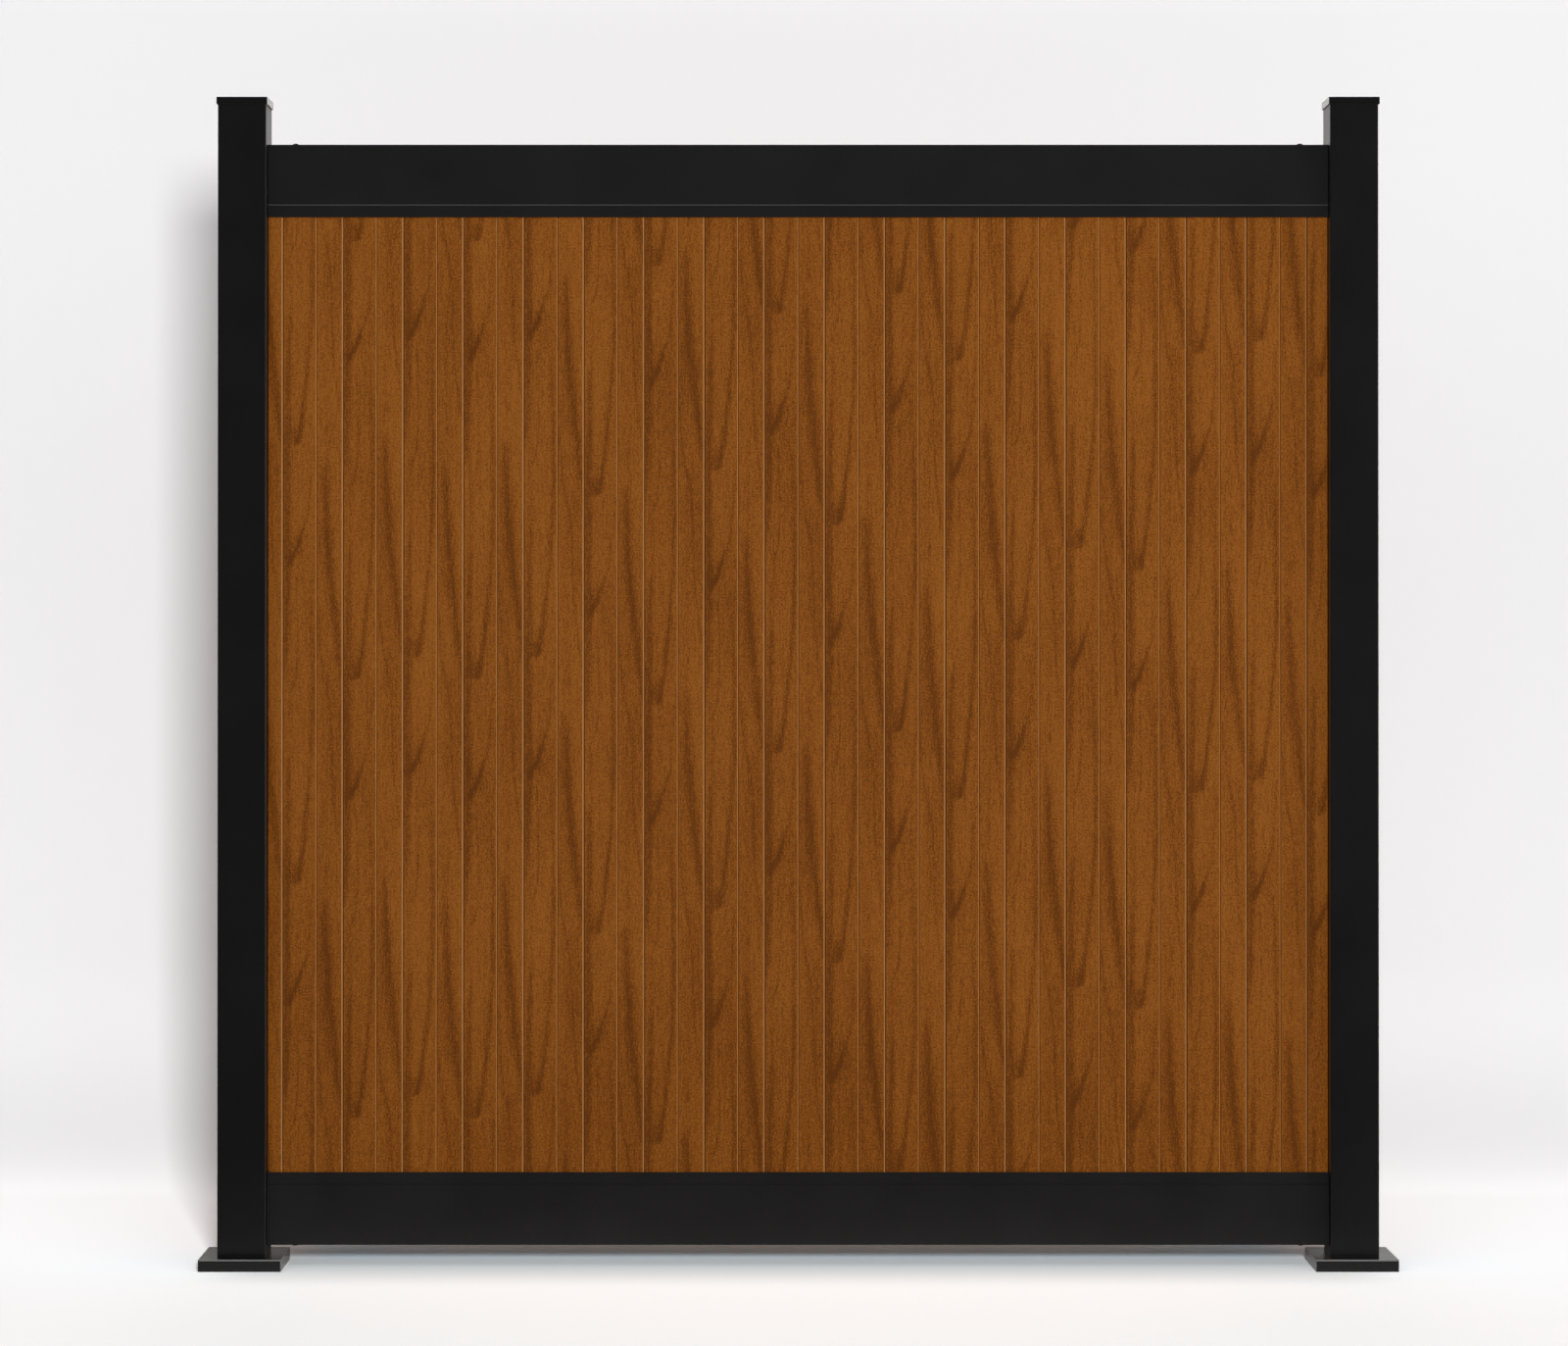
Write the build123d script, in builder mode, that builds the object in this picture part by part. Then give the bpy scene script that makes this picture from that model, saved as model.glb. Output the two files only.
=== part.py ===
from build123d import *
import os

# Aluminium privacy fence panel. Millimetres, +Z up, ground at Z = 0.
# +X runs along the panel, the front faces -Y, and the origin is under the middle of the panel.

# Posts: square extruded tube, welded on an anchor plate
post_size = 76.2
post_wall = 3.2
post_corner = 2.0
post_top = 1842.0
opening = 1676.4

# Anchor plates and the covers that hide them
plate_size = 118.0
plate_thickness = 8.0
plate_corner = 6.0
anchor_spacing = 96.0
anchor_radius = 5.5
cover_size = 130.0
cover_height = 19.0
cover_wall = 2.5
cover_edge = 1.6
cover_clearance = 0.4

# Post caps
cap_wall = 2.0
cap_clearance = 0.3
cap_roof = 3.0
cap_side = 11.4
cap_crown = 3.0
cap_flat = 26.0
cap_corner = 2.5
cap_edge = 0.8

# Rails: one extrusion, used with its channel down at the top and up at the bottom
rail_height = 114.3
rail_depth = 38.1
rail_wall = 2.0
rail_corner = 0.8
rail_end_gap = 0.5
rail_lip = 19.05
rail_step = 2.4
lip_bead = 2.0
rail_below_post_top = 70.0
ground_gap = 35.0

# Boards: hollow tongue-and-groove extrusion, the same face front and back. A deep groove parts each
# face in a narrow and a wide strip, and small bevels mark the joint between two boards. The full
# boards stand almost in the middle of the opening, and a ripped board fills up each end.
board_cover = 95.25
board_thickness = 25.4
board_wall = 1.3
board_side_clearance = 0.4
board_top_gap = 4.0
board_shift = 0.8
edge_gap = 1.0
joint_gap = 0.3
joint_right_bevel = 1.2
joint_left_bevel = 1.0
joint_bevel_depth = 1.1
groove_at = 41.85
groove_near_bevel = 2.2
groove_far_bevel = 1.6
groove_depth = 2.0
web_slope = 2.6
tongue_length = 7.0
tongue_thickness = 5.0
tongue_clearance = 0.3

# Brackets inside the rail ends, and the screws. A drill runs on past the far side of a wall.
bracket_leg = 62.0
bracket_drop = 60.0
bracket_thickness = 3.5
bracket_bend = 3.0
bracket_clearance = 0.4
post_screw_spacing = 28.0
rail_screw_from_post = 42.5
screw_radius = 2.4
screw_clearance = 0.05
hole_overrun = 1.0
screw_tail = 9.0
pan_radius = 4.5
pan_height = 3.6
pan_rim = 1.8
pan_flat = 2.6
hex_across_flats = 8.0
hex_height = 4.2

post_x = (opening + post_size) / 2
inner_half = opening / 2
rail_length = opening - 2 * rail_end_gap
top_rail_top = post_top - rail_below_post_top
box_height = rail_height - rail_lip
bottom_seat = ground_gap + box_height
board_length = top_rail_top - box_height - board_top_gap - bottom_seat
channel = board_thickness + 2 * board_side_clearance
full_boards = int(opening / board_cover) - 1
bracket_width = rail_depth - 2 * rail_wall - 2 * bracket_clearance

os.makedirs("parts", exist_ok=True)


def keep(part, name):
    """Label a finished piece and write it to its own file."""
    part.label = name
    export_step(part, f"parts/{name}.step")


# Posts, with clearance holes for the bracket screws in the wall that faces the panel
bracket_levels = (
    top_rail_top - rail_wall - bracket_thickness - (bracket_drop - bracket_thickness) / 2,
    ground_gap + rail_wall + bracket_thickness + (bracket_drop - bracket_thickness) / 2,
)
screw_levels = [
    level + offset
    for level in bracket_levels
    for offset in (-post_screw_spacing / 2, post_screw_spacing / 2)
]

for side, name in ((-1, "left_post"), (1, "right_post")):
    with BuildPart() as post:
        with BuildSketch(Plane.XY.offset(plate_thickness)):
            with Locations((side * post_x, 0)):
                RectangleRounded(post_size, post_size, post_corner)
                bore = post_size - 2 * post_wall
                Rectangle(bore, bore, mode=Mode.SUBTRACT)
        extrude(amount=post_top - plate_thickness)
        for level in screw_levels:
            with Locations(Plane((side * inner_half, 0, level), z_dir=(-side, 0, 0))):
                Hole(radius=screw_radius + screw_clearance, depth=post_wall + hole_overrun)
    keep(post.part, name)


# Anchor plates: corners sheared off, and drilled outside the tube that is welded on them
for side, name in ((-1, "left_base_plate"), (1, "right_base_plate")):
    with BuildPart() as plate:
        with BuildSketch() as outline:
            with Locations((side * post_x, 0)):
                Rectangle(plate_size, plate_size)
            chamfer(outline.vertices(), length=plate_corner)
            with Locations((side * post_x, 0)):
                with GridLocations(anchor_spacing, anchor_spacing, 2, 2):
                    Circle(anchor_radius, mode=Mode.SUBTRACT)
        extrude(amount=plate_thickness)
    keep(plate.part, name)


# Base covers: thin plain shells that slide down the post and hide the plate and its anchors
for side, name in ((-1, "left_base_cover"), (1, "right_base_cover")):
    with BuildPart() as cover:
        with BuildSketch():
            with Locations((side * post_x, 0)):
                RectangleRounded(cover_size, cover_size, cover_edge)
        extrude(amount=cover_height)
        chamfer(cover.faces().sort_by(Axis.Z)[-1].edges(), length=cover_edge / 2)
        with BuildSketch():
            with Locations((side * post_x, 0)):
                Rectangle(cover_size - 2 * cover_wall, cover_size - 2 * cover_wall)
        extrude(amount=cover_height - cover_wall, mode=Mode.SUBTRACT)
        with BuildSketch():
            with Locations((side * post_x, 0)):
                mouth = post_size + 2 * cover_clearance
                RectangleRounded(mouth, mouth, post_corner)
        extrude(amount=cover_height, mode=Mode.SUBTRACT)
    keep(cover.part, name)


# Post caps: a crowned roof that rests on the tube's end, with a skirt over its sides
cap_size = post_size + 2 * (cap_clearance + cap_wall)
eaves = post_top + cap_roof
skirt_bottom = eaves - cap_side
for side, name in ((-1, "left_post_cap"), (1, "right_post_cap")):
    with BuildPart() as cap:
        with BuildSketch(Plane.XY.offset(skirt_bottom)):
            with Locations((side * post_x, 0)):
                Rectangle(cap_size, cap_size)
        extrude(amount=cap_side + cap_crown)
        roof = cap.faces().sort_by(Axis.Z)[-1]
        slope_run = (cap_size - cap_flat) / 2
        chamfer(roof.edges(), length=slope_run, length2=cap_crown, reference=roof)
        fillet(cap.edges().filter_by(Axis.Z), radius=cap_corner)
        chamfer(cap.faces().sort_by(Axis.Z)[0].edges(), length=cap_edge)
        with BuildSketch(Plane.XY.offset(skirt_bottom)):
            with Locations((side * post_x, 0)):
                mouth = post_size + 2 * cap_clearance
                Rectangle(mouth, mouth)
        extrude(amount=cap_side - cap_roof, mode=Mode.SUBTRACT)
    keep(cap.part, name)


# Rails. The half section starts at the middle of the closed edge and goes round the hollow box,
# the bevelled step and the lip, whose bead guides the boards, to the floor of the channel.
lip_outer = rail_depth / 2 - rail_step
lip_inner = channel / 2 + lip_bead / 2


def rail_solid(top, direction):
    """The rail extrusion, its closed edge at height top; direction -1 hangs the channel down."""
    with BuildPart() as rail:
        with BuildSketch(Plane.YZ.offset(-rail_length / 2)):
            with BuildLine():
                half = rail_depth / 2
                Polyline(
                    (0, top),
                    (half, top),
                    (half, top + direction * (box_height - rail_step / 2)),
                    (lip_outer, top + direction * (box_height + rail_step / 2)),
                    (lip_outer, top + direction * rail_height),
                    (channel / 2, top + direction * rail_height),
                    (channel / 2, top + direction * (rail_height - lip_bead)),
                    (lip_inner, top + direction * (rail_height - 1.5 * lip_bead)),
                    (lip_inner, top + direction * box_height),
                    (0, top + direction * box_height),
                )
                mirror(about=Plane.YZ)
            make_face()
            cell_height = box_height - 2 * rail_wall
            with Locations((0, top + direction * box_height / 2)):
                Rectangle(rail_depth - 2 * rail_wall, cell_height, mode=Mode.SUBTRACT)
        extrude(amount=rail_length)
        closed_face = rail.faces().sort_by(Axis.Z)[-1 if direction < 0 else 0]
        fillet(closed_face.edges().filter_by(Axis.X), radius=rail_corner)
        for side in (-1, 1):
            at = (side * (inner_half - rail_screw_from_post), 0, top)
            with Locations(Plane(at, z_dir=(0, 0, -direction))):
                Hole(radius=screw_radius + screw_clearance, depth=rail_wall + hole_overrun)
    return rail.part


keep(rail_solid(top_rail_top, -1), "top_rail")
keep(rail_solid(ground_gap, 1), "bottom_rail")


# Brackets: bent angles inside the rail ends, one leg on the post and one on the rail's closed edge
def bracket_solid(side, level, direction):
    """An angle whose legs lie on the post and on the rail's wall at height level."""
    bend_x = side * (inner_half - bracket_thickness)
    bend_z = level + direction * bracket_thickness
    leg_end = side * (inner_half - bracket_leg)
    drop_end = level + direction * bracket_drop
    with BuildPart() as bracket:
        with BuildSketch(Plane.XZ):
            with BuildLine():
                Polyline(
                    (side * inner_half, level),
                    (leg_end, level),
                    (leg_end, bend_z),
                    (bend_x, bend_z),
                    (bend_x, drop_end),
                    (side * inner_half, drop_end),
                    close=True,
                )
            make_face()
        extrude(amount=bracket_width / 2, both=True)
        inner_bend = bracket.edges().filter_by(Axis.Y).sort_by_distance((bend_x, 0, bend_z))[0]
        fillet(inner_bend, radius=bracket_bend)
        middle = (bend_z + drop_end) / 2
        for offset in (-post_screw_spacing / 2, post_screw_spacing / 2):
            with Locations(Plane((bend_x, 0, middle + offset), z_dir=(-side, 0, 0))):
                Hole(radius=screw_radius + screw_clearance, depth=bracket_thickness + hole_overrun)
        at = (side * (inner_half - rail_screw_from_post), 0, level)
        with Locations(Plane(at, z_dir=(0, 0, -direction))):
            Hole(radius=screw_radius + screw_clearance, depth=bracket_thickness + hole_overrun)
    return bracket.part


for row, level, direction in (
    ("top", top_rail_top - rail_wall, -1),
    ("bottom", ground_gap + rail_wall, 1),
):
    for side, hand in ((-1, "left"), (1, "right")):
        keep(bracket_solid(side, level, direction), f"{row}_{hand}_bracket")


# Rail screws: a low pan head on a plain shank, turned about its own axis
def screw_plane(place, head):
    """A plane through the screw's axis whose second direction is the way the head points."""
    across = Vector(0, 1, 0)
    return Plane(origin=place, x_dir=across, z_dir=across.cross(Vector(head)))


def pan_head_screws(seats, shank):
    """Separate screws, each at a seat given as the place under its head and the head's direction."""
    with BuildPart() as group:
        for place, head in seats:
            with BuildSketch(screw_plane(place, head)):
                with BuildLine():
                    Polyline(
                        (0, pan_height),
                        (0, -shank),
                        (screw_radius, -shank),
                        (screw_radius, 0),
                        (pan_radius, 0),
                        (pan_radius, pan_rim),
                        (pan_flat, pan_height),
                        close=True,
                    )
                make_face()
            revolve(axis=Axis(place, head))
    return group.part


# Bracket screws: a hexagon head on a plain shank
def hex_head_screws(seats, shank):
    """Separate screws, each at a seat given as the place under its head and the head's direction."""
    with BuildPart() as group:
        for place, head in seats:
            seat = Plane(origin=place, x_dir=(0, 1, 0), z_dir=head)
            with BuildSketch(seat):
                RegularPolygon(radius=hex_across_flats / 2, side_count=6, major_radius=False)
            extrude(amount=hex_height)
            with BuildSketch(seat):
                Circle(screw_radius)
            extrude(amount=-shank)
    return group.part


post_seats = [
    ((side * (inner_half - bracket_thickness), 0, level), (-side, 0, 0))
    for side in (-1, 1)
    for level in screw_levels
]
rail_seats = [
    ((side * (inner_half - rail_screw_from_post), 0, level), (0, 0, head))
    for side in (-1, 1)
    for level, head in ((top_rail_top, 1), (ground_gap, -1))
]
keep(hex_head_screws(post_seats, bracket_thickness + post_wall + screw_tail), "bracket_screws")
keep(pan_head_screws(rail_seats, rail_wall + bracket_thickness + screw_tail), "rail_screws")


# Boards. The section is drawn from the board's left joint line: the tongue to the left of it, the
# slot for the next tongue in the right edge, and the same bevels and deep groove on both faces.
half_board = board_thickness / 2
skin = half_board - board_wall
right_edge = board_cover - joint_gap
slot_half = tongue_thickness / 2 + tongue_clearance
slot_floor = right_edge - tongue_length - tongue_clearance
bevel_floor = half_board - joint_bevel_depth


def board_outline():
    """Half outline of a full board, from the tip of the tongue to the bottom of the slot."""
    return Polyline(
        (-tongue_length, 0),
        (-tongue_length, tongue_thickness / 2),
        (0, tongue_thickness / 2),
        (0, bevel_floor),
        (joint_left_bevel, half_board),
        (groove_at - groove_near_bevel, half_board),
        (groove_at, half_board - groove_depth),
        (groove_at + groove_far_bevel, half_board),
        (right_edge - joint_right_bevel, half_board),
        (right_edge, bevel_floor),
        (right_edge, slot_half),
        (slot_floor, slot_half),
        (slot_floor, 0),
    )


def strip_cell(end_wall, web_face):
    """The hollow behind one strip, its corners cut off where it meets the web under the groove."""
    slope = web_slope if web_face > end_wall else -web_slope
    Polygon(
        (end_wall, -skin),
        (web_face - slope, -skin),
        (web_face, -skin + web_slope),
        (web_face, skin - web_slope),
        (web_face - slope, skin),
        (end_wall, skin),
        align=None,
        mode=Mode.SUBTRACT,
    )


def board_solid(left_joint, cut_left, cut_right):
    """A board whose left joint line is at left_joint, ripped to what lies between the two cuts."""
    with BuildPart() as board:
        with BuildSketch(Plane((left_joint, 0, bottom_seat))):
            with BuildLine():
                board_outline()
                mirror(about=Plane.XZ)
            make_face()
            strip_cell(joint_left_bevel + board_wall, groove_at - board_wall / 2)
            strip_cell(slot_floor - board_wall, groove_at + board_wall / 2)
            low = slot_half + board_wall
            high = bevel_floor - board_wall
            for face in (-1, 1):
                with Locations(((slot_floor + right_edge) / 2, face * (low + high) / 2)):
                    Rectangle(right_edge - slot_floor - 2 * board_wall, high - low, mode=Mode.SUBTRACT)
        extrude(amount=board_length)
        if cut_left is not None:
            split(bisect_by=Plane.YZ.offset(cut_left), keep=Keep.TOP)
        if cut_right is not None:
            split(bisect_by=Plane.YZ.offset(cut_right), keep=Keep.BOTTOM)
    return board.part


first_joint = board_shift - full_boards * board_cover / 2
last_board = full_boards + 1
for index in range(full_boards + 2):
    left_joint = first_joint + (index - 1) * board_cover
    cut_left = -inner_half + edge_gap if index == 0 else None
    cut_right = inner_half - edge_gap if index == last_board else None
    keep(board_solid(left_joint, cut_left, cut_right), f"board_{index + 1:02d}")
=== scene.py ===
import math

import bpy
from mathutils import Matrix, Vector


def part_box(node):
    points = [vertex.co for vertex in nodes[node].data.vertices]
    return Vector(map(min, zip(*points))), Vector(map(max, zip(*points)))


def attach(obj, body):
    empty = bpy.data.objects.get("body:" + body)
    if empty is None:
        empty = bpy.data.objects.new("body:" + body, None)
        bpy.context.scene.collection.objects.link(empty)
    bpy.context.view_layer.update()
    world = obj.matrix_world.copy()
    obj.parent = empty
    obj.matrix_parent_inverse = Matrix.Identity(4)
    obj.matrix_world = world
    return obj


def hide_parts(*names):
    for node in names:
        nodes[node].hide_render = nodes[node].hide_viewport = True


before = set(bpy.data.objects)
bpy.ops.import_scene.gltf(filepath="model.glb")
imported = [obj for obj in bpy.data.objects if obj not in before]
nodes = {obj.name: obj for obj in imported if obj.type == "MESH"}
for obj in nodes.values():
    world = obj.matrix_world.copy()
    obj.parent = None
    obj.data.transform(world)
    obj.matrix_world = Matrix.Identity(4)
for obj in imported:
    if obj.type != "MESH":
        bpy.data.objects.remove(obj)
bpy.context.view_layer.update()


# Posts: square aluminium tube, powder coated in satin black after the anchor plate is welded on.
# The coat is a sprayed film with a fine orange peel and a gloss that is a little uneven.
class Wire:
    """A socket in a node tree. Sums and products of wires add the Math nodes that work them out."""

    def __init__(self, tree, socket=None):
        self.tree = tree
        self.socket = socket

    def node(self, kind, settings=None, sockets=None, output=0):
        """Add any node: its settings first, then the values or links of its sockets."""
        made = self.tree.nodes.new(kind)
        for name, setting in (settings or {}).items():
            if name == "stops":
                marks = made.color_ramp.elements
                while len(marks) < len(setting):
                    marks.new(1.0)
                for mark, (place, colour) in zip(marks, setting):
                    mark.position = place
                    mark.color = colour
            elif name == "steps":
                made.color_ramp.interpolation = setting
            elif name == "line":
                points = made.mapping.curves[0].points
                while len(points) < len(setting):
                    points.new(1.0, 1.0)
                for point, place in zip(points, setting):
                    point.location = place
                made.mapping.extend = "HORIZONTAL"
                made.mapping.update()
            else:
                setattr(made, name, setting)
        for name, value in (sockets or {}).items():
            if isinstance(value, Wire):
                self.tree.links.new(value.socket, made.inputs[name])
            else:
                made.inputs[name].default_value = value
        return Wire(self.tree, made.outputs[output])

    def math(self, operation, *values):
        return self.node("ShaderNodeMath", {"operation": operation}, dict(enumerate(values)))

    def __add__(self, other):
        return self.math("ADD", self, other)

    __radd__ = __add__

    def __sub__(self, other):
        return self.math("SUBTRACT", self, other)

    def __rsub__(self, other):
        return self.math("SUBTRACT", other, self)

    def __mul__(self, other):
        return self.math("MULTIPLY", self, other)

    __rmul__ = __mul__

    def __truediv__(self, other):
        return self.math("DIVIDE", self, other)

    def __abs__(self):
        return self.math("ABSOLUTE", self)

    def blend(self, low, high):
        """A colour that goes from low to high as this wire goes from 0 to 1."""
        sockets = {"Factor": self, "A": low, "B": high}
        return self.node("ShaderNodeMix", {"data_type": "RGBA"}, sockets, output=2)

    def fade(self, start, end, first=0.0, last=1.0):
        """A smooth step from first to last as this wire goes from start to end."""
        sockets = {"Value": self, "From Min": start, "From Max": end, "To Min": first, "To Max": last}
        return self.node("ShaderNodeMapRange", {"interpolation_type": "SMOOTHSTEP"}, sockets)

    def axis(self, number):
        """The x, y or z part of this wire's coordinates."""
        return self.node("ShaderNodeSeparateXYZ", sockets={"Vector": self}, output=number)

    def speckle(self, scale, detail=2.0, stretch=(1.0, 1.0, 1.0)):
        """Noise on this wire's coordinates, with so many blobs to the metre."""
        place = self.node("ShaderNodeMapping", sockets={"Vector": self, "Scale": stretch})
        return self.node("ShaderNodeTexNoise", sockets={"Vector": place, "Scale": scale, "Detail": detail})


def new_finish(name, **constants):
    """A material with a Principled shader, its place on the object and its constant sockets set."""
    finish = bpy.data.materials.new(name)
    finish.use_nodes = True
    shader = finish.node_tree.nodes["Principled BSDF"]
    for socket, value in constants.items():
        shader.inputs[socket.replace("_", " ")].default_value = value
    place = Wire(finish.node_tree).node("ShaderNodeTexCoord", output=3)
    return finish, place, shader


def feed(shader, **sockets):
    """Link values or colours that change over the surface to the shader's sockets."""
    for socket, wire in sockets.items():
        wire.tree.links.new(wire.socket, shader.inputs[socket.replace("_", " ")])


def srgb(red, green, blue):
    """A colour given in the eight-bit values of a colour picker."""
    linear = [((c / 255 + 0.055) / 1.055) ** 2.4 if c > 10 else c / 255 / 12.92 for c in (red, green, blue)]
    return (*linear, 1.0)


def black_coat(name, black, roughness, peel_height, wear_and_sheen=None, sheen_or_bare=srgb(150, 150, 150), shine=0.5):
    """Satin black powder coat: uneven gloss in soft clouds, and an orange peel of about 1.5 mm.

    The optional function for wear and sheen works out, from the place on the object, how far the coat
    turns to the pale colour: painted highlights and painted reflections, and some rubbed wear.
    """
    finish, place, shader = new_finish(name, Specular_IOR_Level=shine)
    cloud = place.speckle(9.0, detail=4.0)
    dust = place.speckle(300.0, detail=1.0)
    peel = place.speckle(650.0)
    colour = (cloud * 0.6 + dust * 0.4).blend([0.6 * c for c in black], [1.4 * c for c in black])
    if wear_and_sheen:
        colour = wear_and_sheen(place).blend(colour, sheen_or_bare)
    bump = {"Height": peel, "Strength": 0.4, "Distance": peel_height}
    feed(
        shader,
        Base_Color=colour,
        Roughness=roughness - 0.08 + 0.12 * cloud + 0.04 * dust,
        Normal=place.node("ShaderNodeBump", sockets=bump),
    )
    return finish


def paint(finish, *names):
    """Give CAD nodes a finish, each in its own material slots."""
    for name in names:
        for slot in nodes[name].material_slots:
            slot.material = finish


post_coat = black_coat("black_powder_coat", srgb(22, 21, 21), roughness=0.36, peel_height=0.0002)
paint(post_coat, "left_post", "right_post", "left_base_plate", "right_base_plate")


# Base covers: plain square shells that slide down the post over the anchor plate. They are formed
# from sheet, so their faces are a little wavy. A thin pale line runs along their front top edge, and a
# painted reflection makes the sides that face each other pale.
cover_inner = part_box("right_base_cover")[0][0]
cover_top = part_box("right_base_cover")[1][2]
cover_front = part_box("right_base_cover")[0][1]


def cover_sheen_and_wear(place):
    """A thin pale line along the front top edge, a mottled painted reflection on the sides that face each
    other, and faint scratches on the top.
    """
    sheen_mottle = place.speckle(170.0, detail=3.0).fade(0.4, 0.6)
    scratches = place.speckle(40.0, detail=4.0, stretch=(0.3, 2.0, 1.0)).fade(0.45, 0.75)
    side = abs(place.axis(0)).fade(cover_inner + 0.0003, cover_inner + 0.0008, 0.8, 0.0)
    top = place.axis(2).fade(cover_top - 0.0004, cover_top - 0.0001)
    edge = place.axis(2).fade(cover_top - 0.0026, cover_top - 0.0016)
    front = place.axis(1).fade(cover_front + 0.0015, cover_front + 0.0025, 0.6, 0.0)
    return side * (0.35 + 0.75 * sheen_mottle) + edge * front + 0.08 * scratches * top


cover_coat = black_coat("cover_coat", srgb(24, 23, 23), roughness=0.24, peel_height=0.0006, wear_and_sheen=cover_sheen_and_wear)
paint(cover_coat, "left_base_cover", "right_base_cover")


# Brackets and their screws: mill-finish aluminium angle with fine drawing lines, hidden in the rail
# ends, and plain stainless screws that hold it to the post.
def bare_metal(name, colour, roughness, lines):
    finish, place, shader = new_finish(name, Metallic=1.0)
    streak = place.speckle(400.0, stretch=lines)
    feed(
        shader,
        Base_Color=streak.blend([0.85 * c for c in colour[:3]] + [1.0], colour),
        Roughness=roughness + 0.15 * streak,
    )
    return finish


bracket_metal = bare_metal("bracket_metal", srgb(205, 206, 209), 0.28, lines=(1.0, 0.04, 1.0))
paint(bracket_metal, "top_left_bracket", "top_right_bracket", "bottom_left_bracket", "bottom_right_bracket")
paint(bare_metal("screw_steel", srgb(194, 194, 196), 0.2, lines=(0.2, 1.0, 1.0)), "bracket_screws")


# Rails: one deep aluminium extrusion, channel down at the top and channel up at the bottom, in the
# same kind of satin black coat as the posts, a shade paler.
lip_height = 0.01905
step_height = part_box("top_rail")[0][2] + lip_height


def step_highlight(place):
    """A painted highlight: a thin pale line along the bevelled step in the top rail's faces."""
    return abs(place.axis(2) - step_height).fade(0.0004, 0.001, 0.19, 0.0)


rail_black = srgb(28, 27, 27)
rail_coat = black_coat("rail_coat", rail_black, roughness=0.38, peel_height=0.0002)
paint(rail_coat, "bottom_rail")
paint(black_coat("top_rail_coat", rail_black, roughness=0.38, peel_height=0.0002, wear_and_sheen=step_highlight), "top_rail")


# Rail screws: black coated steel, two down through the top rail and two up through the bottom rail
# into the brackets. The head is a disc with a rounded rim, a round recess is sunk in its top, and
# the plain shank is drawn out of its underside.
head_radius = 0.0045
head_height = 0.0036
dome_height = 0.55 * head_height
recess_rim = 0.0006
recess_depth = 0.4 * head_height
shank_radius = 0.0024
shank_length = 0.0145
screws_low, screws_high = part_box("rail_screws")
screw_out = screws_high[0] - head_radius
top_seat = screws_high[2] - head_height
bottom_seat = screws_low[2] + head_height


def pick_face(piece, direction):
    """Select the piece's face that lies farthest up or down, and nothing else."""
    bpy.ops.object.mode_set(mode="EDIT")
    bpy.ops.mesh.select_mode(type="FACE")
    bpy.ops.mesh.select_all(action="DESELECT")
    bpy.ops.object.mode_set(mode="OBJECT")
    farthest = max(piece.data.polygons, key=lambda face: direction * face.center.z)
    farthest.select = True
    bpy.ops.object.mode_set(mode="EDIT")


def rail_screw():
    """One screw with its head pointing up and the seat under its head at the origin."""
    bpy.ops.object.select_all(action="DESELECT")
    middle = (0, 0, 0.5 * head_height)
    bpy.ops.mesh.primitive_cylinder_add(vertices=24, radius=head_radius, depth=head_height, location=middle)
    screw = bpy.context.object
    bpy.ops.object.transform_apply(location=True, rotation=True, scale=True)
    pick_face(screw, 1)
    bpy.ops.mesh.bevel(offset=dome_height, segments=5)
    pick_face(screw, 1)
    bpy.ops.mesh.inset(thickness=recess_rim)
    bpy.ops.mesh.extrude_region_move(TRANSFORM_OT_translate={"value": (0, 0, -recess_depth)})
    pick_face(screw, -1)
    bpy.ops.mesh.inset(thickness=head_radius - shank_radius)
    bpy.ops.mesh.extrude_region_move(TRANSFORM_OT_translate={"value": (0, 0, -shank_length)})
    bpy.ops.mesh.select_all(action="SELECT")
    bpy.ops.mesh.normals_make_consistent(inside=False)
    bpy.ops.object.mode_set(mode="OBJECT")
    return screw


screws = [rail_screw()]
for _ in range(3):
    bpy.ops.object.duplicate()
    screws.append(bpy.context.object)
seats = ((top_seat, 0), (bottom_seat, 180))
places = [(x, seat, turn) for x in (-screw_out, screw_out) for seat, turn in seats]
for screw, (x, seat, turn) in zip(screws, places):
    screw.location = (x, 0, seat)
    screw.rotation_euler.x = math.radians(turn)
    screw.select_set(True)
bpy.ops.object.transform_apply(location=True, rotation=True, scale=True)
bpy.ops.object.join()
screws = bpy.context.object
screws.name = "rail_screw_set"
bpy.ops.object.shade_smooth_by_angle(angle=math.radians(35))
screw_black = black_coat("screw_black", srgb(20, 19, 19), roughness=0.6, peel_height=0.0001, shine=0.15)
screws.data.materials.append(screw_black)
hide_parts("rail_screws")
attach(screws, "root")


# Boards: hollow aluminium tongue-and-groove extrusions with a wood grain that is printed from a film.
# The film repeats along the board, and each board was cut from the length at another place, so
# print_starts says how far below the top rail, in mm, a repeat starts on the front of each one.
tongue = 0.007
print_period = 0.693
print_starts = (361, 38, 2, 38, 2, 440, 78, 400, 154, 485, 121, 227, 668, 524, 559, 216, 196, 253)
back_start = 0.36
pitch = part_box("board_03")[0][0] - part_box("board_02")[0][0]
first_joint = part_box("board_02")[0][0] + tongue
boards_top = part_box("top_rail")[0][2]
grain_light = srgb(140, 84, 25)
grain_middle = srgb(125, 69, 14)
grain_dark = srgb(106, 57, 8)
grain_darkest = srgb(91, 47, 5)

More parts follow.
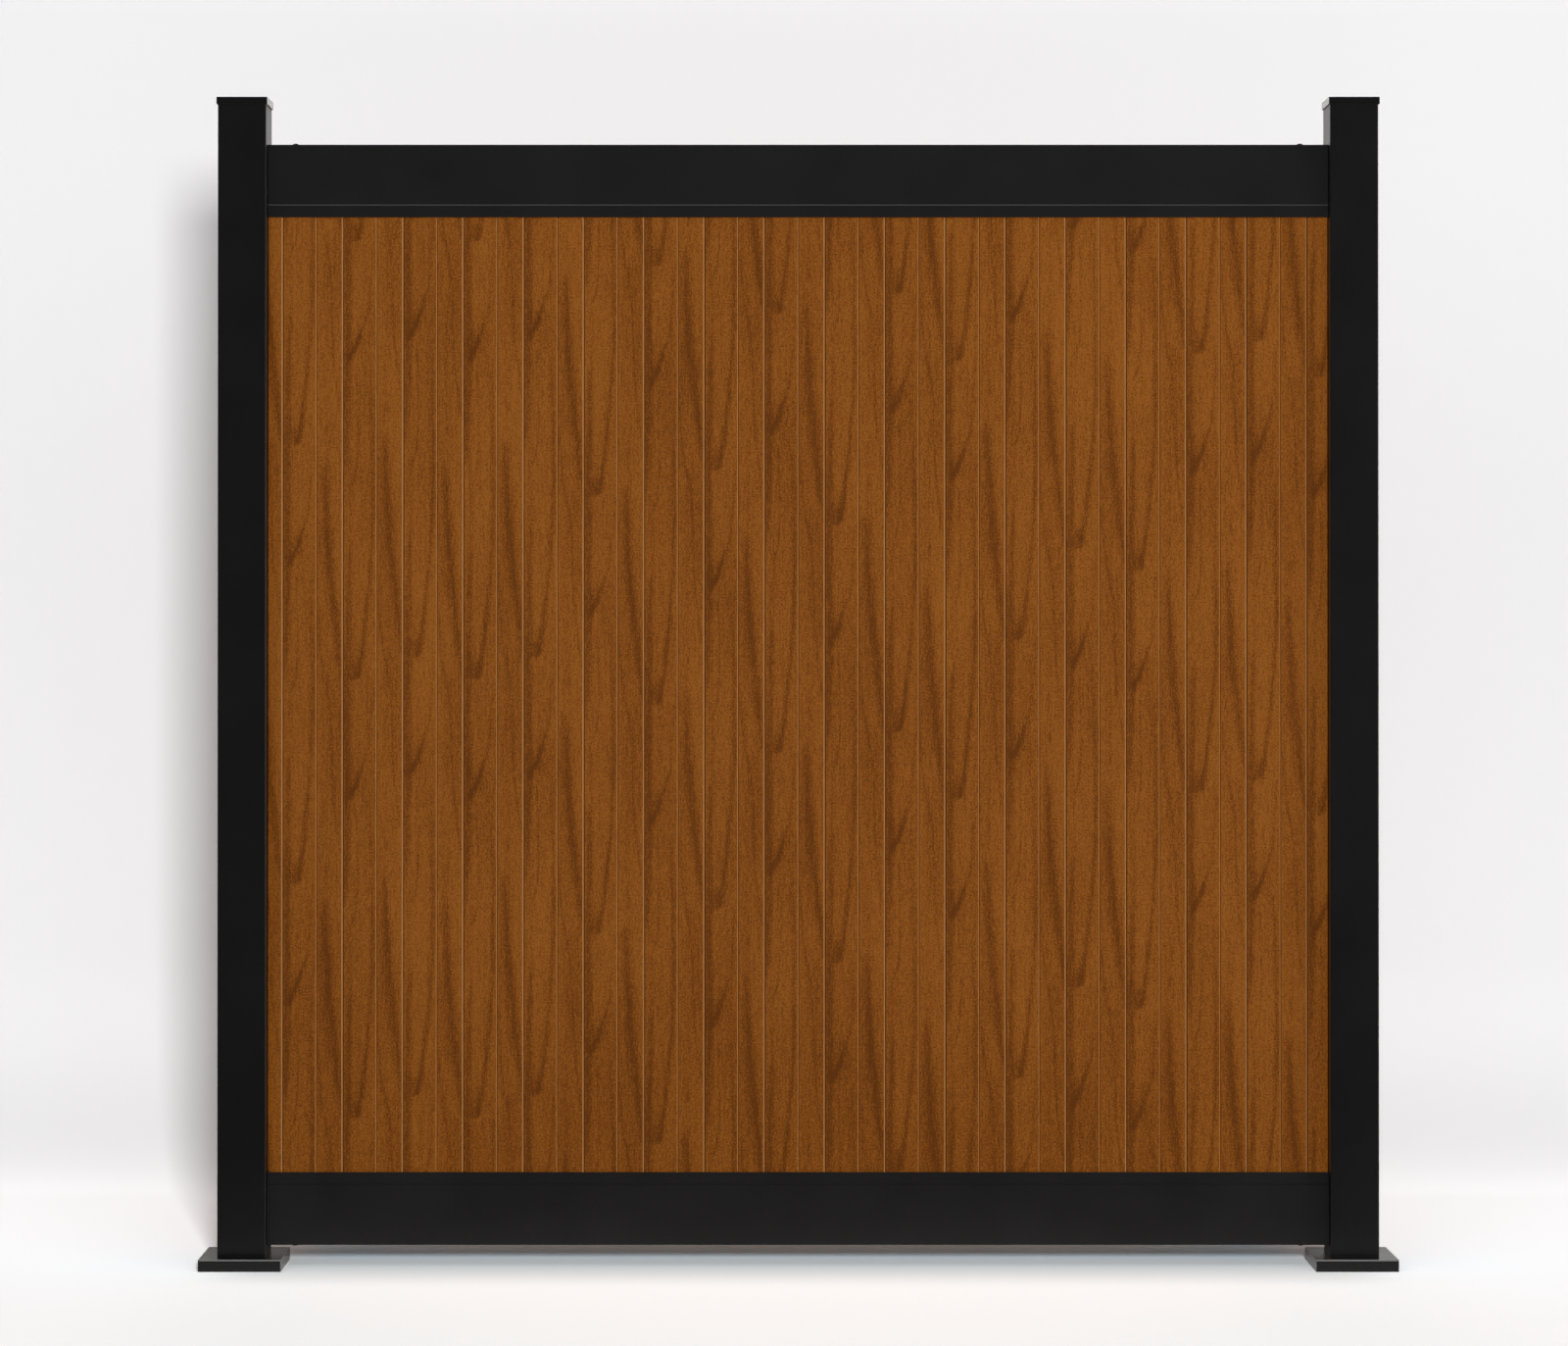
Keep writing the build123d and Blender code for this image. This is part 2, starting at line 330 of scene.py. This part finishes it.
# A painted highlight lies on the edge on the left of each groove and joint, and painted shade on the
# steep face on the right. These places are in mm from the board's left joint.
groove_start, groove_bottom, groove_end = 39.65, 41.85, 43.45
joint_bevel = 1.5
joint_gap = 0.2
joint_shade_end = 1.0
groove_highlight = srgb(167, 117, 68)
joint_highlight = srgb(167, 115, 62)
joint_shade = srgb(112, 62, 18)
groove_shade = srgb(88, 47, 12)

# Each stroke of the grain is (soft edge, rows), and each row says how far down the film it is, how
# far it is from the board's left joint, half its width (all in mm), and how dark it is.
strokes = {
    "right line": (3.0, (
        (195, 86, 2.2, 0.0), (250, 86.5, 2.5, 0.3), (300, 88, 2.4, 0.45), (380, 88.8, 2.6, 0.55),
        (450, 88.5, 2.6, 0.6), (490, 86.5, 2.0, 0.55), (530, 84, 2.0, 0.6), (570, 80.5, 2.2, 0.65),
        (600, 77.5, 2.3, 0.7), (630, 74, 2.4, 0.75), (660, 70.5, 2.8, 0.8), (684, 67, 3.2, 0.7),
        (693, 65, 2.0, 0.0),
    )),
    "tip of the heart": (4.0, (
        (0, 60, 2.0, 0.4), (9, 60, 0.5, 0.0), (635, 61, 3.0, 0.0), (665, 61, 4.5, 0.35),
        (680, 61, 5.0, 0.55), (688, 60.5, 4.2, 0.55), (693, 60, 3.2, 0.5),
    )),
    "upper right line": (2.4, (
        (0, 90, 1.2, 0.3), (40, 87.5, 1.2, 0.3), (80, 84.5, 1.2, 0.35), (108, 82, 1.3, 0.5),
        (120, 78, 1.6, 0.5), (138, 72, 2.0, 0.6), (150, 68, 2.4, 0.7), (165, 63, 3.2, 0.7),
        (175, 58, 3.8, 0.7), (184, 54, 3.8, 0.5), (196, 52, 2.0, 0.0),
    )),
    "shade on the upper line": (9.0, (
        (95, 62, 6.0, 0.0), (140, 62, 6.5, 0.15), (165, 59, 7.5, 0.4), (180, 55, 7.0, 0.35),
        (190, 52, 5.0, 0.0),
    )),
    "hook": (1.4, (
        (203, 63, 0.6, 0.0), (218, 63.3, 0.9, 0.55), (240, 64, 0.7, 0.35), (300, 66, 0.7, 0.4),
        (330, 65.3, 0.9, 0.5), (350, 64, 0.9, 0.5), (368, 62, 1.0, 0.55), (380, 58.5, 1.4, 0.5),
        (390, 54, 1.2, 0.0),
    )),
    "band beside the groove": (3.5, (
        (0, 49, 4.5, 0.65), (120, 49, 4.8, 0.65), (190, 49, 5.2, 0.65), (240, 48, 4.5, 0.62),
        (300, 46.8, 3.2, 0.65), (345, 45.2, 2.0, 0.5), (385, 44, 1.0, 0.0), (470, 55, 1.5, 0.0),
        (500, 52.5, 2.0, 0.45), (550, 50.8, 2.2, 0.6), (600, 49.8, 2.8, 0.62), (650, 49.2, 3.4, 0.65),
        (693, 49, 4.5, 0.65),
    )),
    "flame": (6.0, (
        (342, 15, 3.0, 0.0), (362, 14.5, 4.0, 0.35), (400, 15.5, 4.8, 0.45), (450, 17.5, 6.6, 0.52),
        (500, 20, 7.8, 0.55), (540, 23, 7.8, 0.55), (580, 26.5, 7.0, 0.55), (620, 31, 5.6, 0.52),
        (660, 36, 3.5, 0.4), (693, 39.5, 2.0, 0.0),
    )),
    "core of the flame": (3.5, (
        (350, 11, 1.2, 0.0), (364, 11.5, 1.6, 0.3), (400, 13.5, 2.2, 0.32), (450, 16, 2.8, 0.36),
        (500, 20, 3.2, 0.34), (550, 25.5, 3.2, 0.34), (600, 31, 2.8, 0.36), (640, 34.5, 2.0, 0.38),
        (670, 37.5, 1.4, 0.3), (693, 40, 1.0, 0.0),
    )),
    "left line": (2.0, (
        (0, 13.5, 1.1, 0.5), (20, 17, 1.1, 0.45), (45, 21, 1.1, 0.4), (80, 23, 1.0, 0.35),
        (110, 24, 1.0, 0.45), (150, 25.3, 1.1, 0.5), (190, 27, 1.0, 0.5), (215, 30, 1.0, 0.45),
        (262, 36, 1.0, 0.4), (282, 38.5, 1.0, 0.0), (570, 1, 0.8, 0.0), (590, 2.5, 0.9, 0.25),
        (620, 4, 1.0, 0.35), (660, 8, 1.0, 0.4), (693, 12.5, 1.1, 0.5),
    )),
    "shade right of the left line": (12.0, (
        (0, 29, 9.0, 0.28), (80, 30, 9.0, 0.25), (150, 32, 8.0, 0.2), (220, 34, 6.0, 0.0),
        (640, 29, 8.0, 0.0), (693, 29, 9.0, 0.28),
    )),
    "shade at the left joint": (10.0, (
        (350, 3, 4.0, 0.0), (430, 3, 5.0, 0.25), (600, 4, 6.0, 0.22), (690, 6, 6.0, 0.1),
    )),
    "shade below the upper line": (12.0, (
        (120, 82, 10.0, 0.0), (170, 80, 12.0, 0.2), (250, 80, 12.0, 0.15), (330, 82, 10.0, 0.0),
    )),
    "knot": (2.5, ((288, 16.5, 0.8, 0.0), (298, 16.5, 1.4, 0.5), (308, 16.5, 0.8, 0.0))),
}


def wood_film():
    """The printed film: strokes of grain, fine noise between them, and a band at each groove and joint."""
    finish, place, shader = new_finish("wood_grain_print", Specular_IOR_Level=0.2)
    x, y, z = (place.axis(number) for number in range(3))
    board_width = 1000 * pitch
    film_length = 1000 * print_period

    boards_along = (x - first_joint) / pitch + 1.0
    number = boards_along.math("FLOOR", boards_along)
    from_joint = (boards_along - number) * board_width

    count = len(print_starts)
    stops = [(n / count, (start / film_length,) * 3 + (1.0,)) for n, start in enumerate(print_starts)]
    steps = {"steps": "CONSTANT", "stops": stops}
    start = number.node("ShaderNodeValToRGB", steps, {"Fac": (number + 0.5) / count})
    back = y.math("GREATER_THAN", y, 0.0)
    down = place.math("FRACT", (boards_top - z) / print_period - start + back * back_start + 4.0)
    waver = place.speckle(14.0, stretch=(3.0, 3.0, 1.0)) - 0.5
    fray = place.speckle(160.0, detail=3.0, stretch=(2.0, 2.0, 0.25)) - 0.5
    across = from_joint + waver * 1.6 + fray * 1.8

    # A curve holds values from 0 to 1, so each column of the rows goes in as a share of its full scale.
    full_scale = {1: 100.0, 2: 20.0, 3: 1.0}
    dark = 0.0
    for soft, rows in strokes.values():
        curves = []
        for column, full in full_scale.items():
            line = [(row[0] / film_length, row[column] / full) for row in rows]
            curves.append(down.node("ShaderNodeFloatCurve", {"line": line}, {"Value": down}) * full)
        middle, half, depth = curves
        from_edge = abs(across - middle) - half
        dark = from_edge.fade(-1.3 * soft, 1.7 * soft, 1.0, 0.0) * depth + dark

    def strip(start, end, blur=0.15):
        """1 between these places, in mm from the board's left joint, and 0 elsewhere."""
        return from_joint.fade(start - blur, start + blur) * from_joint.fade(end - blur, end + blur, 1.0, 0.0)

    grain = place.speckle(420.0, detail=3.0, stretch=(1.6, 1.6, 0.25))
    stipple = place.speckle(400.0, detail=1.0)
    ripple = place.speckle(60.0, detail=2.0, stretch=(0.5, 0.5, 1.8))
    streak = place.speckle(110.0, detail=2.0, stretch=(3.0, 3.0, 0.12))
    cloud = place.speckle(3.0, detail=3.0, stretch=(2.5, 2.5, 1.0))
    tone = dark * (0.46 + 0.4 * grain) + 1.1 * (grain - 0.5) + 2.0 * (stipple - 0.5)
    tone = tone + 0.1 * (ripple - 0.5) + 0.5 * (streak - 0.5) + 0.5 * (cloud - 0.5) + 0.25
    # Painted shade: the tone grows darker towards the bottom of the boards and towards the middle of the
    # panel.
    tone = tone + z.fade(0.1, 0.6, 0.12, 0.0) + abs(x).fade(0.0, 0.6, 0.07, 0.0)
    ramp = [(0.0, grain_light), (0.35, grain_middle), (0.7, grain_dark), (1.0, grain_darkest)]
    colour = tone.node("ShaderNodeValToRGB", {"stops": ramp}, {"Fac": tone})
    # Painted highlight on the left edge of each groove and joint, painted shade on the steep face to its
    # right.
    colour = strip(groove_start, groove_bottom).blend(colour, groove_highlight)
    colour = strip(groove_bottom, groove_end).blend(colour, groove_shade)
    colour = strip(board_width - joint_bevel, board_width - joint_gap).blend(colour, joint_highlight)
    colour = strip(0.0, joint_shade_end).blend(colour, joint_shade)
    relief = {"Height": grain, "Strength": 0.15, "Distance": 0.0002}
    feed(
        shader,
        Base_Color=colour,
        Roughness=0.4 + 0.1 * grain,
        Normal=grain.node("ShaderNodeBump", sockets=relief),
    )
    return finish


paint(wood_film(), *(f"board_{number:02d}" for number in range(1, len(print_starts) + 1)))


# Post caps: shallow crowned aluminium castings in a glossier black coat than the posts, pushed over
# the tube's end so that a short skirt hides its cut edge.
cap_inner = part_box("right_post_cap")[0][0]


def cap_sheen(place):
    """A painted reflection makes the sides of the two caps that face each other pale, with dark specks."""
    specks = place.speckle(330.0, detail=2.0).fade(0.36, 0.46, 0.25, 0.9)
    return abs(place.axis(0)).fade(cap_inner + 0.0003, cap_inner + 0.0009, 1.0, 0.0) * specks


# The pale colour of the painted reflection on the caps' sides.
skirt_sheen = srgb(205, 205, 205)
cap_coat = black_coat("cap_coat", srgb(20, 19, 19), 0.16, peel_height=0.0002, wear_and_sheen=cap_sheen, sheen_or_bare=skirt_sheen)
paint(cap_coat, "left_post_cap", "right_post_cap")


# The studio: a white floor, and a paper wall that curves up out of it 1.15 m behind the panel. Seen
# from behind, the wall isn't there, and far away the floor turns into the pale room.
floor_size = 60
wall_at = 1.15
wall_width = 24
wall_height = 9
cove = 0.4
post_inside, post_outside = 0.83, 0.97

# How pale the camera sees the floor in front of and behind the panel, how much a painted shadow darkens
# it under the panel, and how pale it sees the wall at its foot and at the panel's top.
floor_front, floor_back = 2.45, 3.8
floor_shadow_strength = 0.38
wall_foot, wall_high = 1.34, 1.19
room_pale = 0.86
paper_plain = (1.0, 1.0, 1.01, 1)
paper_cool = (0.9, 0.935, 0.945, 1)
paper_cooler = (0.72, 0.98, 1.16, 1)

# What the lamps light, and what shiny faces see of it near the panel and far off.
paper_white = (0.75, 0.75, 0.76, 1)
mirror_pale = (1.15, 1.15, 1.15, 1)
mirror_dark = (0.02, 0.02, 0.02, 1)


def paper(name, room_start, room_end, mirrored_to):
    """Matt white paper, paler for the camera than for the light, and dark to shiny faces far off."""
    finish = bpy.data.materials.new(name)
    finish.use_nodes = True
    tree = finish.node_tree
    tree.nodes.remove(tree.nodes["Principled BSDF"])
    place = Wire(tree).node("ShaderNodeTexCoord", output=3)
    seen = place.node("ShaderNodeLightPath", output=0)
    shiny = place.node("ShaderNodeLightPath", output=3)
    aside, depth, height = abs(place.axis(0)), place.axis(1), place.axis(2)

    # Painted shadow: the floor between the posts, just in front of and behind the panel, is darkened.
    painted_shadow = aside.fade(post_inside, post_outside, 1.0, 0.0) * abs(depth - 0.02).fade(0.0, 0.25, floor_shadow_strength, 0.0)
    floor_pale = depth.fade(-0.9, 0.9, floor_front, floor_back) * (1 - painted_shadow)
    wall_pale = height.fade(0.0, 1.4, wall_foot, wall_high)
    upright = abs(place.node("ShaderNodeNewGeometry", output=1).axis(1))
    lying = upright.math("POWER", 1 - upright, 2.8)
    pale = lying.blend(wall_pale, floor_pale)

    # Painted colour of light: the floor in front of the panel and just behind it is tinted cool, to take out
    # the warm light the boards bounce onto it.
    in_front = aside.fade(0.7, 1.2, 1.0, 0.0) * depth.fade(0.0, 0.2, 1.0, 0.0)
    just_behind = depth.fade(0.0, 0.15) * depth.fade(0.2, 0.4, 1.0, 0.0)
    just_behind = aside.fade(0.72, 0.86, 1.0, 0.0) * just_behind
    tint = just_behind.blend(in_front.blend(paper_plain, paper_cool), paper_cooler)
    tinted = {"data_type": "RGBA", "blend_type": "MULTIPLY"}
    pale = place.node("ShaderNodeMix", tinted, {"Factor": 1.0, "A": pale, "B": tint}, output=2)

    near = abs(depth).fade(mirrored_to, mirrored_to + 0.25, 1.0, 0.0)
    white = seen.blend(paper_white, pale)
    white = shiny.blend(white, near.blend(mirror_dark, mirror_pale))
    sheet = place.node("ShaderNodeBsdfDiffuse", sockets={"Color": white})
    room = place.node("ShaderNodeEmission", sockets={"Color": (room_pale, room_pale, room_pale, 1)})
    away = place.node("ShaderNodeVectorMath", {"operation": "LENGTH"}, {0: place}, output=1)
    far = away.fade(room_start, room_end) * seen
    faded = place.node("ShaderNodeMixShader", sockets={0: far, 1: sheet, 2: room})
    nothing = place.node("ShaderNodeBsdfTransparent")
    behind = place.node("ShaderNodeNewGeometry", output=6)
    shown = place.node("ShaderNodeMixShader", sockets={0: behind, 1: faded, 2: nothing})
    tree.links.new(shown.socket, tree.nodes["Material Output"].inputs["Surface"])
    return finish


bpy.ops.object.select_all(action="DESELECT")
bpy.ops.mesh.primitive_plane_add(size=floor_size)
floor = bpy.context.object
floor.name = "studio_floor"
floor.data.materials.append(paper("floor_paper", 3.5, 9.0, mirrored_to=0.12))

bpy.ops.mesh.primitive_plane_add(size=1, location=(0, wall_at - 0.5 * cove, 0))
wall = bpy.context.object
wall.name = "studio_wall"
wall.scale = (wall_width, cove, 1)
bpy.ops.object.transform_apply(location=True, rotation=True, scale=True)


def select_wall_foot():
    """Select the edge of the wall's foot that runs along the panel, and nothing else."""
    bpy.ops.object.mode_set(mode="EDIT")
    bpy.ops.mesh.select_mode(type="EDGE")
    bpy.ops.mesh.select_all(action="DESELECT")
    bpy.ops.object.mode_set(mode="OBJECT")
    for edge in wall.data.edges:
        ends = [wall.data.vertices[v].co for v in edge.vertices]
        edge.select = all(end.y > wall_at - 0.01 and end.z < 0.01 for end in ends)
    bpy.ops.object.mode_set(mode="EDIT")


select_wall_foot()
bpy.ops.mesh.extrude_region_move(TRANSFORM_OT_translate={"value": (0, 0, wall_height)})
select_wall_foot()
bpy.ops.mesh.bevel(offset=0.99 * cove, segments=24)
bpy.ops.mesh.select_all(action="SELECT")
bpy.ops.mesh.normals_make_consistent(inside=True)
bpy.ops.object.mode_set(mode="OBJECT")
bpy.ops.object.shade_smooth()
wall.data.materials.append(paper("wall_paper", 3.5, 9.0, mirrored_to=2.0))
wall.visible_shadow = False
wall.visible_diffuse = False

# The room: light from the front, where the camera stands, and almost none from behind. Shiny faces
# see a dark room in front, where the camera stands, and a pale one behind.
world = bpy.data.worlds.new("studio")
bpy.context.scene.world = world
world.use_nodes = True
world.cycles.sampling_method = "NONE"
room = Wire(world.node_tree)
direction = room.node("ShaderNodeTexCoord", output=0)
depth = direction.axis(1)
height = direction.axis(2)
mirrored = depth.fade(-0.6, 0.6, 0.03, 0.6) * height.fade(0.2, 0.9, 1.0, 0.25)
shiny = room.node("ShaderNodeLightPath", output=3)
seen = room.node("ShaderNodeLightPath", output=0)
fill = depth.fade(-1.0, 0.25, 0.5, 0.02)
level = shiny * mirrored + (1 - shiny) * fill
level = level * (1 - seen) + seen * room_pale
background = world.node_tree.nodes["Background"]
world.node_tree.links.new(level.socket, background.inputs["Color"])


def softbox(name, place, aim, width, height, power, mirrored=True):
    """A rectangular lamp that shines at aim; mirrored says if shiny faces show it."""
    lamp = bpy.data.lights.new(name, "AREA")
    lamp.shape = "RECTANGLE"
    lamp.size = width
    lamp.size_y = height
    lamp.energy = power
    box = bpy.data.objects.new(name, lamp)
    box.location = place
    box.rotation_euler = (Vector(aim) - Vector(place)).to_track_quat("-Z", "Y").to_euler()
    box.visible_camera = False
    box.visible_glossy = mirrored
    bpy.context.scene.collection.objects.link(box)
    return box


softbox("key", (0.22, -6.5, 1.95), (0, 0, 0.95), 0.75, 0.75, 270, mirrored=False)
edge_light = softbox("edge_light", (4.0, -1.1, 1.1), (0, 0, 0.9), 2.0, 2.4, 50)
back_light = softbox("back_light", (-1.5, 6.0, 2.6), (0, 0, 0.9), 2.4, 2.0, 240, mirrored=False)
panel = bpy.data.collections.new("panel")
for piece in (*nodes.values(), screws):
    panel.objects.link(piece)
edge_light.light_linking.receiver_collection = panel
back_light.light_linking.receiver_collection = panel

# The camera stands where the photographer stood: a little left of the middle, at chest height, with
# the lens shifted so that the posts stay upright.
lens = bpy.data.cameras.new("camera")
lens.lens = 91.75
lens.sensor_width = 36.0
lens.shift_x = 0.0225
lens.shift_y = -0.048
tilt_up = 0.311
camera = bpy.data.objects.new("camera", lens)
camera.location = (-0.0778, -6.331, 1.022)
camera.rotation_euler = (math.radians(90 + tilt_up), 0, 0)
bpy.context.scene.collection.objects.link(camera)
bpy.context.scene.camera = camera
bpy.context.scene.view_settings.view_transform = "Standard"
